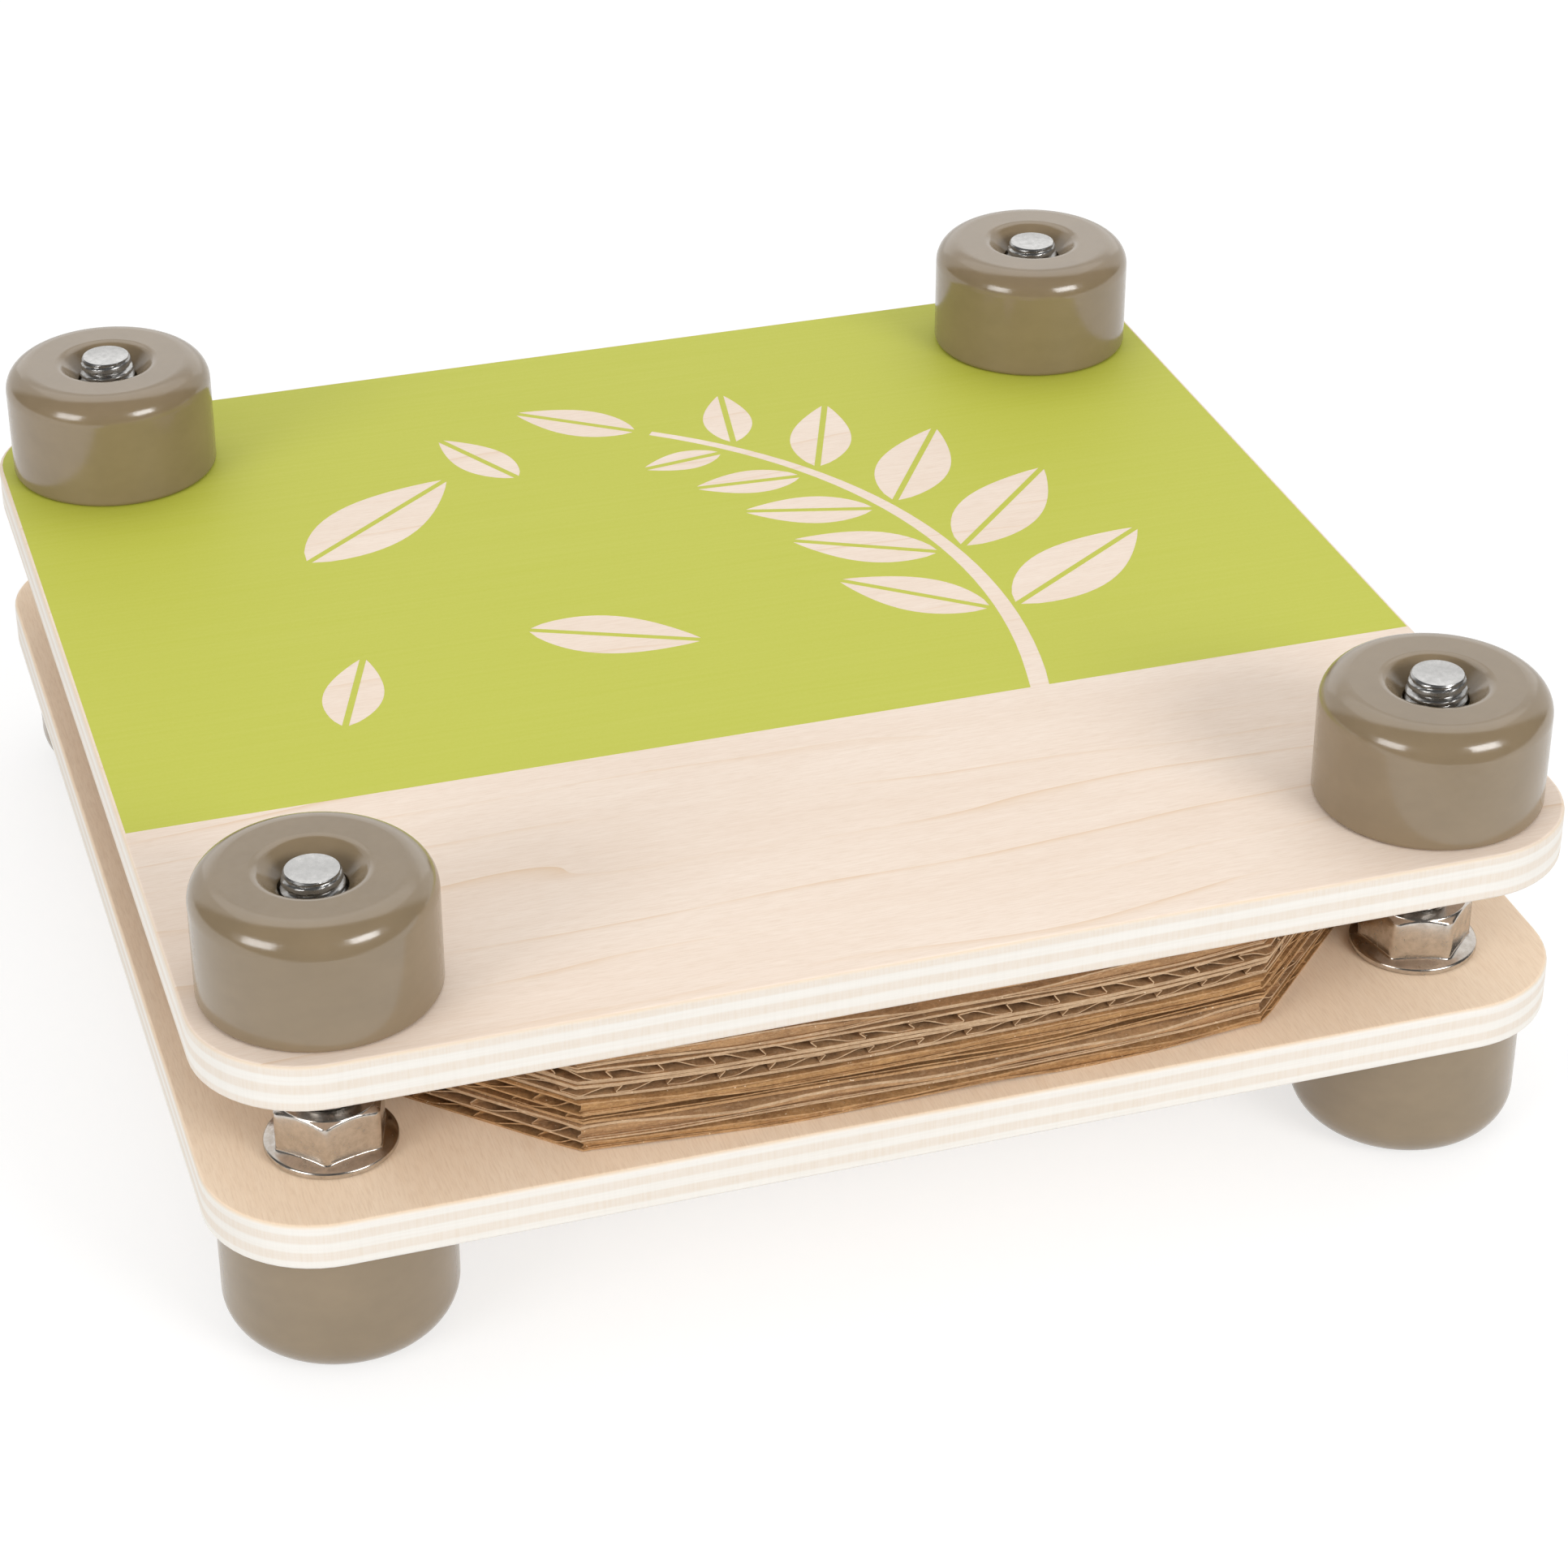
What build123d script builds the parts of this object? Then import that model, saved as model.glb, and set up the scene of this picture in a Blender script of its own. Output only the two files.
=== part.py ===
from build123d import *
import math
import os

# A flower press: two plywood boards on four bolts, with a stack of fluted cardboard
# sheets between them and a turned wooden knob on each bolt to squeeze the stack.
# Millimetres, +Z up, +Y to the back, origin on the floor under the middle of the press.

# Boards
board_width = 180.0
board_thickness = 6.5
board_corner_radius = 15.0
board_edge_round = 0.5
bolt_inset = 17.0
top_board_hole_clearance = 0.5
bottom_board_hole_clearance = 0.3

# Cardboard sheets
sheet_count = 8
sheet_thickness = 2.1
sheet_margin = 4.0
sheet_to_nut_gap = 2.9
liner_thickness = 0.3
flute_pitch = 6.4
flute_wall_run = 0.6
cross_sheets = (5, 6)

# Bolts, size M8
bolt_diameter = 8.0
bolt_end_chamfer = 0.6
hex_across_flats = 13.0
hex_corner_drop = 0.6
bolt_head_height = 5.3
bolt_rise_front_left = -0.3
bolt_rise_front_right = 1.0
bolt_rise_back_left = 0.9
bolt_rise_back_right = -0.2
thread_clearance = 0.05

# Flange nuts
nut_height = 7.6
nut_flange_diameter = 16.8
nut_flange_lip = 1.1
nut_flange_height = 1.8
nut_flange_round = 0.4
nut_turn_front_left = 14.0
nut_turn_front_right = 43.0
nut_turn_back_left = 27.0
nut_turn_back_right = 5.0

# Feet
foot_diameter = 30.0
foot_height = 19.5
foot_rest_ring = 1.5
foot_top_round = 0.8
foot_hole_clearance = 0.3
head_recess_depth = 7.0
head_recess_clearance = 0.5

# Knobs and their threaded inserts
knob_diameter = 30.0
knob_height = 16.7
knob_top_round = 3.7
knob_bottom_round = 0.8
knob_hole_clearance = 0.3
knob_mouth_diameter = 13.9
knob_mouth_depth = 2.65
knob_mouth_round = 1.5
knob_throat = 2.55
insert_wall = 1.5
insert_clearance = 0.05

# Levels and places that follow from the sizes above
bottom_board_level = foot_height
stack_level = bottom_board_level + board_thickness
top_board_level = stack_level + sheet_count * sheet_thickness
knob_level = top_board_level + board_thickness
knob_top_level = knob_level + knob_height
bolt_place = board_width / 2 - bolt_inset
bolt_radius = bolt_diameter / 2
hex_across_corners = hex_across_flats / math.cos(math.radians(30))
insert_radius = bolt_radius + thread_clearance + insert_wall
insert_length = knob_height - knob_mouth_depth - knob_throat
sheet_width = board_width - 2 * sheet_margin

corners = {
    "front_left": (-1, -1, bolt_rise_front_left, nut_turn_front_left),
    "front_right": (1, -1, bolt_rise_front_right, nut_turn_front_right),
    "back_left": (-1, 1, bolt_rise_back_left, nut_turn_back_left),
    "back_right": (1, 1, bolt_rise_back_right, nut_turn_back_right),
}


def turned(points, rounds):
    """A solid turned about Z from (radius, height) corners; rounds pairs a corner with its radius."""
    outline = make_face(Polyline(*points, close=True))
    for corner, radius in rounds:
        outline = fillet(outline.vertices().sort_by_distance(corner)[0], radius)
    return revolve(Plane.XZ * outline, Axis.Z)


def tube(inner_radius, outer_radius, height):
    """A plain sleeve standing on Z = 0."""
    ring = Circle(outer_radius) - Circle(inner_radius)
    return extrude(ring, height)


def hexagon(height):
    """A hexagon bar standing on Z = 0, with the corners of its upper end turned off."""
    bar = extrude(RegularPolygon(hex_across_flats / 2, 6, major_radius=False), height)
    corner_radius = hex_across_corners / 2
    envelope = turned(
        [
            (0, 0),
            (corner_radius, 0),
            (corner_radius, height - hex_corner_drop),
            (hex_across_flats / 2 - hex_corner_drop / 2, height),
            (0, height),
        ],
        [],
    )
    return bar & envelope


def board(hole_clearance):
    """A plywood board lying on Z = 0, with eased edges and one hole at each bolt."""
    outline = RectangleRounded(board_width, board_width, board_corner_radius)
    plate = extrude(outline, board_thickness)
    rim = plate.edges().group_by(Axis.Z)[0] + plate.edges().group_by(Axis.Z)[-1]
    plate = fillet(rim, board_edge_round)
    hole = extrude(Circle(bolt_radius + hole_clearance), board_thickness)
    for x_side, y_side, _, _ in corners.values():
        plate -= Pos(x_side * bolt_place, y_side * bolt_place, 0) * hole
    return plate


def flute_cells():
    """The open channels of a sheet as triangles across its thickness, base and point by turns."""
    flute_height = sheet_thickness - 2 * liner_thickness
    half_base = flute_pitch / 2 - flute_wall_run
    reach = math.ceil(sheet_width / flute_pitch / 2)
    cells = []
    for step in range(-2 * reach, 2 * reach + 1):
        middle = step * flute_pitch / 2
        base_level = liner_thickness if step % 2 == 0 else liner_thickness + flute_height
        point_level = sheet_thickness - base_level
        triangle = Polyline(
            (middle - half_base, base_level),
            (middle + half_base, base_level),
            (middle, point_level),
            close=True,
        )
        cells.append(make_face(triangle))
    return cells


def cardboard_sheet():
    """One sheet on Z = 0 with its flutes along Y: two liners, a folded core and cut-off corners."""
    section = Pos(0, sheet_thickness / 2) * Rectangle(sheet_width, sheet_thickness)
    section -= flute_cells()
    blank = extrude(Plane.XZ * section, sheet_width / 2, both=True)
    nut_radius = nut_flange_diameter / 2
    corner_line = 2 * bolt_place - math.sqrt(2) * (nut_radius + sheet_to_nut_gap)
    half_side = sheet_width / 2
    short_side = corner_line - half_side
    octagon = make_face(
        Polyline(
            (half_side, -short_side),
            (half_side, short_side),
            (short_side, half_side),
            (-short_side, half_side),
            (-half_side, short_side),
            (-half_side, -short_side),
            (-short_side, -half_side),
            (short_side, -half_side),
            close=True,
        )
    )
    return blank & extrude(octagon, sheet_thickness)


def foot():
    """A turned foot on Z = 0, with a recess in its underside for the bolt's head."""
    hole_radius = bolt_radius + foot_hole_clearance
    recess_radius = hex_across_corners / 2 + head_recess_clearance
    outer_radius = foot_diameter / 2
    bottom_round = outer_radius - recess_radius - foot_rest_ring
    return turned(
        [
            (recess_radius, 0),
            (outer_radius, 0),
            (outer_radius, foot_height),
            (hole_radius, foot_height),
            (hole_radius, head_recess_depth),
            (recess_radius, head_recess_depth),
        ],
        [
            ((outer_radius, 0), bottom_round),
            ((outer_radius, foot_height), foot_top_round),
        ],
    )


def bolt(rise):
    """A hexagon bolt with its head seated in the foot and its end near the knob's top."""
    length = knob_top_level + rise - head_recess_depth
    shank = turned(
        [
            (0, 0),
            (bolt_radius, 0),
            (bolt_radius, length - bolt_end_chamfer),
            (bolt_radius - bolt_end_chamfer, length),
            (0, length),
        ],
        [],
    )
    head = Rot(X=180) * hexagon(bolt_head_height)
    return Pos(0, 0, head_recess_depth) * (shank + head)


def flange_nut():
    """A hexagon nut on Z = 0 that widens to a round flange at its foot."""
    bore_radius = bolt_radius + thread_clearance
    flange_radius = nut_flange_diameter / 2
    flange = turned(
        [
            (0, 0),
            (flange_radius, 0),
            (flange_radius, nut_flange_lip),
            (hex_across_flats / 2, nut_flange_height),
            (0, nut_flange_height),
        ],
        [((flange_radius, nut_flange_lip), nut_flange_round)],
    )
    return flange + hexagon(nut_height) - extrude(Circle(bore_radius), nut_height)


def knob():
    """A turned knob on Z = 0, bored from below for its insert, with a sunk mouth round the bolt's end."""
    pocket_radius = insert_radius + insert_clearance
    hole_radius = bolt_radius + knob_hole_clearance
    outer_radius = knob_diameter / 2
    mouth_radius = knob_mouth_diameter / 2
    return turned(
        [
            (pocket_radius, 0),
            (outer_radius, 0),
            (outer_radius, knob_height),
            (mouth_radius, knob_height),
            (hole_radius, knob_height - knob_mouth_depth),
            (hole_radius, insert_length),
            (pocket_radius, insert_length),
        ],
        [
            ((outer_radius, 0), knob_bottom_round),
            ((outer_radius, knob_height), knob_top_round),
            ((mouth_radius, knob_height), knob_mouth_round),
        ],
    )


def knob_insert():
    """The threaded sleeve inside a knob, flush with the knob's underside."""
    return tube(bolt_radius + thread_clearance, insert_radius, insert_length)


def save(shape, name):
    """Writes one piece as a STEP file named after it."""
    export_step(shape, f"parts/{name}.step")


os.makedirs("parts", exist_ok=True)

save(Pos(0, 0, bottom_board_level) * board(bottom_board_hole_clearance), "bottom_board")
save(Pos(0, 0, top_board_level) * board(top_board_hole_clearance), "top_board")

sheet = cardboard_sheet()
for number in range(1, sheet_count + 1):
    quarter_turn = 0 if number in cross_sheets else 90
    level = stack_level + (number - 1) * sheet_thickness
    save(Pos(0, 0, level) * Rot(Z=quarter_turn) * sheet, f"cardboard_sheet_{number}")

foot_piece = foot()
nut_piece = flange_nut()
knob_piece = knob()
insert_piece = knob_insert()
for corner_name, (x_side, y_side, rise, nut_turn) in corners.items():
    axis = Pos(x_side * bolt_place, y_side * bolt_place, 0)
    save(axis * foot_piece, f"foot_{corner_name}")
    save(axis * bolt(rise), f"bolt_{corner_name}")
    save(axis * Pos(0, 0, stack_level) * Rot(Z=nut_turn) * nut_piece, f"flange_nut_{corner_name}")
    save(axis * Pos(0, 0, knob_level) * knob_piece, f"knob_{corner_name}")
    save(axis * Pos(0, 0, knob_level) * insert_piece, f"knob_insert_{corner_name}")
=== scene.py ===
import math

import bpy
import numpy as np
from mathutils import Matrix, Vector


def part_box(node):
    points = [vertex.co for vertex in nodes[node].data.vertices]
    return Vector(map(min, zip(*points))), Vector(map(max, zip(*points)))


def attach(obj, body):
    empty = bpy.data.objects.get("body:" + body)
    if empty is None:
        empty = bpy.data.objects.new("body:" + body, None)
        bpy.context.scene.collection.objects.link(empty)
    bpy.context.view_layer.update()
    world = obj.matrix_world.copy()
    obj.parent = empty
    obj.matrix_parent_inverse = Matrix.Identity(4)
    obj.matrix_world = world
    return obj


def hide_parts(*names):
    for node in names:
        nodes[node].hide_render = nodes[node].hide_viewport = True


# A flower press seen from its front left: two plywood boards on bolts, a stack of fluted cardboard
# between them, painted knobs and feet. Metres, +Z up, +Y to the back, in the frame of the solids.

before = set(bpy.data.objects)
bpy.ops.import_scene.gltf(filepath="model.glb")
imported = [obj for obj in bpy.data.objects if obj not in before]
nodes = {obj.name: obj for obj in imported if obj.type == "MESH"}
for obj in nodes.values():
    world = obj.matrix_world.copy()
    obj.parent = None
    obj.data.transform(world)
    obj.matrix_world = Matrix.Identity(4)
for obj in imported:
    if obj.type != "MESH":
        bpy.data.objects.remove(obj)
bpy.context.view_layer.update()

MM = 0.001
CORNERS = ("front_left", "front_right", "back_left", "back_right")


# Camera
CAMERA_PLACE = (-0.14123, -0.47042, 0.31995)
CAMERA_DOWN = math.radians(31.276)
CAMERA_TURN = math.radians(-17.689)
LENS_LENGTH = 92.03
SENSOR_WIDTH = 36.0

camera_data = bpy.data.cameras.new("camera")
camera_data.lens = LENS_LENGTH
camera_data.sensor_width = SENSOR_WIDTH
camera = bpy.data.objects.new("camera", camera_data)
camera.location = CAMERA_PLACE
camera.rotation_euler = (math.pi / 2 - CAMERA_DOWN, 0, CAMERA_TURN)
bpy.context.scene.collection.objects.link(camera)
bpy.context.scene.camera = camera


# Node helpers
def srgb(red, green, blue):
    """A colour given on the usual 0 to 255 scale, as the linear RGBA that nodes take."""
    linear = []
    for value in (red, green, blue):
        share = value / 255
        linear.append(share / 12.92 if share <= 0.04045 else ((share + 0.055) / 1.055) ** 2.4)
    return (*linear, 1.0)


def add_node(tree, kind, inputs, **settings):
    """A new node; each input is a value, or an output socket to link from."""
    node = tree.nodes.new("ShaderNode" + kind)
    for name, value in settings.items():
        setattr(node, name, value)
    for key, value in inputs.items():
        if isinstance(value, bpy.types.NodeSocket):
            tree.links.new(value, node.inputs[key])
        else:
            node.inputs[key].default_value = value
    return node


def new_material(name, surface):
    """A material with its main shader's plain values set; returns it with its tree and shader."""
    material = bpy.data.materials.new(name)
    material.use_nodes = True
    tree = material.node_tree
    shader = tree.nodes["Principled BSDF"]
    for key, value in surface.items():
        shader.inputs[key].default_value = value
    return material, tree, shader


def place_in_part(tree):
    """Where a point is in the part, which moves along with the piece."""
    return add_node(tree, "TexCoord", {}).outputs["Object"]


def noise(tree, lengths_mm, detail=3.0, roughness=0.5, shift=0.0):
    """Noise with features about this long along X, Y and Z."""
    scale = [1 / (length * MM) for length in lengths_mm]
    moved = {"Vector": place_in_part(tree), "Scale": scale, "Location": (shift, shift, shift)}
    place = add_node(tree, "Mapping", moved).outputs["Vector"]
    look = {"Vector": place, "Scale": 1.0, "Detail": detail, "Roughness": roughness}
    return add_node(tree, "TexNoise", look).outputs["Fac"]


def ramp(tree, value, stops):
    """Colours along a value, from a list of (place, colour) stops."""
    node = add_node(tree, "ValToRGB", {"Fac": value})
    elements = node.color_ramp.elements
    while len(elements) < len(stops):
        elements.new(1.0)
    for element, (place, colour) in zip(elements, stops):
        element.position = place
        element.color = colour
    return node.outputs["Color"]


# A mix node takes values at its sockets 2 and 3, and colours at 6 and 7.
def mix_values(tree, factor, first, second):
    """Two values mixed by a factor."""
    return add_node(tree, "Mix", {0: factor, 2: first, 3: second}).outputs[0]


def mix_colours(tree, factor, first, second):
    """Two colours mixed by a factor."""
    return add_node(tree, "Mix", {0: factor, 6: first, 7: second}, data_type="RGBA").outputs[2]


def math_node(tree, operation, first, second=0.0):
    """One sum on two values."""
    return add_node(tree, "Math", {0: first, 1: second}, operation=operation).outputs[0]


def weighted_sum(tree, first, second, first_share):
    """Two values added in shares that make one."""
    scaled_first = math_node(tree, "MULTIPLY", first, first_share)
    scaled_second = math_node(tree, "MULTIPLY", second, 1 - first_share)
    return math_node(tree, "ADD", scaled_first, scaled_second)


def spread_value(tree, value, low, high, to_low=0.0, to_high=1.0):
    """A value moved from one range to another, and held inside it."""
    limits = {"From Min": low, "From Max": high, "To Min": to_low, "To Max": to_high}
    return add_node(tree, "MapRange", {"Value": value, **limits}).outputs["Result"]


def add_bump(tree, shader, height, depth_mm, strength):
    """Fine relief on a surface."""
    relief = add_node(tree, "Bump", {"Height": height, "Distance": depth_mm * MM, "Strength": strength})
    tree.links.new(relief.outputs["Normal"], shader.inputs["Normal"])


# Materials
GRAIN_ALONG_X, GRAIN_ALONG_Y = 0, 1
GROWTH_LINE_SPACING = 9.0
GROWTH_LINE_WANDER = 3.0
GROWTH_LINE_FADE = 2.0

# The light and dark tones are partly the veneer's own pale colour, partly a painted sheen that lifts them
# paler.
TOP_VENEER_WITH_PAINTED_SHEEN = {
    "light": srgb(247, 231, 216),
    "dark": srgb(239, 219, 201),
    "line": srgb(226, 193, 156),
    "line_share": 0.7,
    "fleck": srgb(224, 201, 178),
    "fleck_share": 0.35,
}
BOTTOM_VENEER = {
    "light": srgb(250, 230, 205),
    "dark": srgb(243, 219, 191),
    "line": srgb(216, 174, 130),
    "line_share": 0.12,
    "fleck": srgb(216, 186, 154),
    "fleck_share": 0.3,
}

WHITE_PLY = srgb(234, 230, 223)
BEIGE_PLY = srgb(228, 219, 208)
PLY_SHADE = srgb(216, 202, 186)
PLY_SHADE_SHARE = 0.16
PLY_HATCH = {WHITE_PLY: srgb(232, 228, 221), BEIGE_PLY: srgb(225, 214, 200)}
PLY_WAVER = 0.03
PLY_BLUR = 0.022
EDGE_GLOW_START = 0.93
EDGE_GLOW_TONE = srgb(233, 211, 182)
TOP_BOARD_PLIES = (BEIGE_PLY, WHITE_PLY, BEIGE_PLY, WHITE_PLY, BEIGE_PLY)
BOTTOM_BOARD_PLIES = (WHITE_PLY, BEIGE_PLY, WHITE_PLY, BEIGE_PLY, WHITE_PLY)

PAPER_SPECK = srgb(236, 214, 184)


def grain_lengths(grain_axis, along, across):
    """Lengths of a pattern's features along X, Y and Z, for grain that runs along X (0) or Y (1)."""
    lengths = [across, across, across]
    lengths[grain_axis] = along
    return lengths


def growth_lines(tree, grain_axis):
    """Thin wandering lines along the grain, each sharp on one side and soft on the other."""
    place = add_node(tree, "SeparateXYZ", {"Vector": place_in_part(tree)})
    across = place.outputs[1 - grain_axis]
    wander = noise(tree, grain_lengths(grain_axis, along=110, across=22), detail=2.0, shift=13.0)
    count = math_node(tree, "DIVIDE", across, GROWTH_LINE_SPACING * MM)
    count = math_node(tree, "ADD", count, math_node(tree, "MULTIPLY", wander, GROWTH_LINE_WANDER))
    line = spread_value(tree, math_node(tree, "FRACT", count), low=0.86, high=1.0)
    line = math_node(tree, "POWER", line, GROWTH_LINE_FADE)
    patches = noise(tree, grain_lengths(grain_axis, along=45, across=12), shift=17.0)
    return math_node(tree, "MULTIPLY", line, spread_value(tree, patches, low=0.42, high=0.62))


def veneer_colour(tree, grain_axis, light, dark, line, line_share, fleck, fleck_share):
    """Pale veneer: an even cloudy tone, sparse growth lines and short flecks along the grain."""
    cloud = noise(tree, grain_lengths(grain_axis, along=70, across=14), detail=4.0, roughness=0.6)
    fine = noise(tree, grain_lengths(grain_axis, along=7, across=0.5), detail=2.0, roughness=0.6, shift=7.0)
    tone = weighted_sum(tree, cloud, fine, first_share=0.6)
    base = ramp(tree, tone, [(0.35, light), (0.68, dark)])
    fleck_lengths = grain_lengths(grain_axis, along=2.6, across=0.22)
    flecks = noise(tree, fleck_lengths, detail=2.0, roughness=0.7, shift=3.0)
    flecks = spread_value(tree, flecks, low=0.46, high=0.7, to_high=fleck_share)
    lines = math_node(tree, "MULTIPLY", growth_lines(tree, grain_axis), line_share)
    return mix_colours(tree, lines, mix_colours(tree, flecks, base, fleck), line)


def ply_stops(tones):
    """Colour stops up a board's edge: a band for each ply, and a warm rim at the very top."""
    count = len(tones)
    stops = [(0.0, tones[0])]
    for border in range(1, count):
        stops.append((border / count - PLY_BLUR, tones[border - 1]))
        stops.append((border / count + PLY_BLUR, tones[border]))
    stops.append((EDGE_GLOW_START, tones[-1]))
    stops.append((1.0, EDGE_GLOW_TONE))
    return stops


def plywood(name, board, grain_axis, veneer, plies):
    """Birch plywood: veneer on the faces, and one band for each ply round the edges and in the holes."""
    material, tree, shader = new_material(name, {"Roughness": 0.68, "IOR": 1.45})
    low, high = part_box(board)
    face = veneer_colour(tree, grain_axis, **veneer)
    height = add_node(tree, "SeparateXYZ", {"Vector": place_in_part(tree)}).outputs["Z"]
    level = spread_value(tree, height, low.z, high.z)
    waver = noise(tree, lengths_mm=(18, 18, 4), shift=11.0)
    waver = spread_value(tree, waver, low=0.0, high=1.0, to_low=-PLY_WAVER, to_high=PLY_WAVER)
    level = math_node(tree, "ADD", level, waver)
    end_grain = noise(tree, lengths_mm=(0.32, 0.32, 6.0), detail=2.0, roughness=0.7, shift=5.0)
    end_grain = spread_value(tree, end_grain, low=0.42, high=0.66)
    long_grain = noise(tree, lengths_mm=(16, 16, 0.3), detail=2.0, shift=9.0)
    long_grain = spread_value(tree, long_grain, low=0.4, high=0.75)
    bands = ramp(tree, level, ply_stops(plies))
    hatched_bands = ramp(tree, level, ply_stops([PLY_HATCH[tone] for tone in plies]))
    edge = mix_colours(tree, end_grain, bands, hatched_bands)
    edge = mix_colours(tree, math_node(tree, "MULTIPLY", long_grain, PLY_SHADE_SHARE), edge, PLY_SHADE)
    normal = add_node(tree, "NewGeometry", {}).outputs["Normal"]
    upright = add_node(tree, "SeparateXYZ", {"Vector": normal}).outputs["Z"]
    face_share = spread_value(tree, math_node(tree, "ABSOLUTE", upright), low=0.74, high=0.92)
    tree.links.new(mix_colours(tree, face_share, edge, face), shader.inputs["Base Color"])
    relief = noise(tree, grain_lengths(grain_axis, along=6, across=0.35), detail=2.0, shift=2.0)
    add_bump(tree, shader, relief, depth_mm=0.02, strength=0.4)
    return material


def sheened_printing_ink():
    """Matt green print on veneer: an even tone with a faint mottle and the grain just showing through,
    lifted paler by a painted sheen.
    """
    material, tree, shader = new_material("sheened_printing_ink", {"Roughness": 0.62, "IOR": 1.5})
    mottle = noise(tree, lengths_mm=(0.5, 0.5, 0.5), detail=3.0, roughness=0.7)
    grain = noise(tree, lengths_mm=(40, 0.8, 0.8), detail=2.0, shift=4.0)
    tone = weighted_sum(tree, mottle, grain, first_share=0.5)
    # These greens are the print's own colour lifted paler by a painted sheen, a white haze that stands in
    # for gloss.
    colour = ramp(tree, tone, [(0.3, srgb(198, 201, 78)), (0.7, srgb(193, 197, 64))])
    tree.links.new(colour, shader.inputs["Base Color"])
    add_bump(tree, shader, tone, depth_mm=0.015, strength=0.35)
    return material


def taupe_paint():
    """Satin taupe paint with a faint brushed mottle and a fine grain in its gloss."""
    material, tree, shader = new_material("taupe_paint", {"IOR": 1.7})
    cloud = noise(tree, lengths_mm=(9, 9, 6), detail=3.0, roughness=0.6)
    colour = ramp(tree, cloud, [(0.3, srgb(137, 119, 93)), (0.7, srgb(130, 113, 88))])
    tree.links.new(colour, shader.inputs["Base Color"])
    gloss = noise(tree, lengths_mm=(0.9, 0.9, 0.9), detail=2.0, shift=3.0)
    gloss = spread_value(tree, gloss, low=0.3, high=0.7, to_low=0.14, to_high=0.22)
    tree.links.new(gloss, shader.inputs["Roughness"])
    peel = noise(tree, lengths_mm=(1.3, 1.3, 1.3), detail=1.0, shift=8.0)
    add_bump(tree, shader, peel, depth_mm=0.008, strength=0.5)
    return material


def metal(name, light, dark, smooth, rough, grain_mm, relief_mm):
    """Plated steel whose gloss and tone vary a little from place to place."""
    material, tree, shader = new_material(name, {"Metallic": 1.0})
    wear = noise(tree, (grain_mm, grain_mm, grain_mm), detail=4.0, roughness=0.65)
    colour = ramp(tree, wear, [(0.32, light), (0.7, dark)])
    tree.links.new(colour, shader.inputs["Base Color"])
    gloss = spread_value(tree, wear, low=0.3, high=0.7, to_low=smooth, to_high=rough)
    tree.links.new(gloss, shader.inputs["Roughness"])
    fine_mm = grain_mm / 4
    fine = noise(tree, (fine_mm, fine_mm, fine_mm), detail=2.0, shift=6.0)
    add_bump(tree, shader, fine, relief_mm, strength=0.5)
    return material


def kraft(name, light, dark, fibre, shade):
    """Dull brown kraft paper: cloudy tone, pale fibres and darker streaks along its layers."""
    material, tree, shader = new_material(name, {"Roughness": 0.85, "IOR": 1.35})
    cloud = noise(tree, lengths_mm=(4, 4, 1.4), detail=2.0, roughness=0.6)
    mottle = noise(tree, lengths_mm=(0.45, 0.45, 0.3), detail=3.0, roughness=0.7, shift=9.0)
    tone = weighted_sum(tree, cloud, mottle, first_share=0.45)
    base = ramp(tree, tone, [(0.36, light), (0.64, dark)])
    fibres = noise(tree, lengths_mm=(0.9, 0.9, 0.16), detail=3.0, roughness=0.75, shift=4.0)
    fibre_share = spread_value(tree, fibres, low=0.52, high=0.74, to_high=0.6)
    streaks = noise(tree, lengths_mm=(7, 7, 0.3), detail=3.0, roughness=0.7, shift=15.0)
    streak_share = spread_value(tree, streaks, low=0.54, high=0.7, to_high=0.6)
    specks = noise(tree, lengths_mm=(0.5, 0.5, 0.5), detail=1.0, shift=21.0)
    speck_share = spread_value(tree, specks, low=0.74, high=0.8)
    paper = mix_colours(tree, fibre_share, base, fibre)
    paper = mix_colours(tree, streak_share, paper, shade)
    paper = mix_colours(tree, speck_share, paper, PAPER_SPECK)
    tree.links.new(paper, shader.inputs["Base Color"])
    add_bump(tree, shader, fibres, depth_mm=0.06, strength=0.8)
    return material


top_plywood = plywood("top_plywood", "top_board", GRAIN_ALONG_X, TOP_VENEER_WITH_PAINTED_SHEEN, TOP_BOARD_PLIES)
bottom_plywood = plywood(
    "bottom_plywood", "bottom_board", GRAIN_ALONG_Y, BOTTOM_VENEER, BOTTOM_BOARD_PLIES
)
sheened_ink = sheened_printing_ink()
paint = taupe_paint()
nickel = metal(
    "nickel_plate",
    light=srgb(212, 205, 197),
    dark=srgb(188, 179, 169),
    smooth=0.14,
    rough=0.3,
    grain_mm=1.2,
    relief_mm=0.01,
)
steel = metal(
    "bright_steel",
    light=srgb(186, 185, 183),
    dark=srgb(166, 165, 163),
    smooth=0.24,
    rough=0.36,
    grain_mm=0.9,
    relief_mm=0.003,
)
insert_metal = metal(
    "insert_zinc",
    light=srgb(190, 186, 178),
    dark=srgb(150, 146, 138),
    smooth=0.3,
    rough=0.45,
    grain_mm=1.5,
    relief_mm=0.01,
)
brown_face = kraft(
    "brown_kraft",
    light=srgb(186, 143, 94),
    dark=srgb(140, 101, 63),
    fibre=srgb(208, 171, 127),
    shade=srgb(118, 83, 51),
)
brown_edge = kraft(
    "brown_kraft_edge",
    light=srgb(192, 152, 108),
    dark=srgb(156, 117, 78),
    fibre=srgb(220, 190, 152),
    shade=srgb(130, 94, 60),
)
grey_face = kraft(
    "grey_kraft",
    light=srgb(186, 146, 104),
    dark=srgb(146, 110, 76),
    fibre=srgb(206, 174, 138),
    shade=srgb(120, 88, 60),
)
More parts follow.
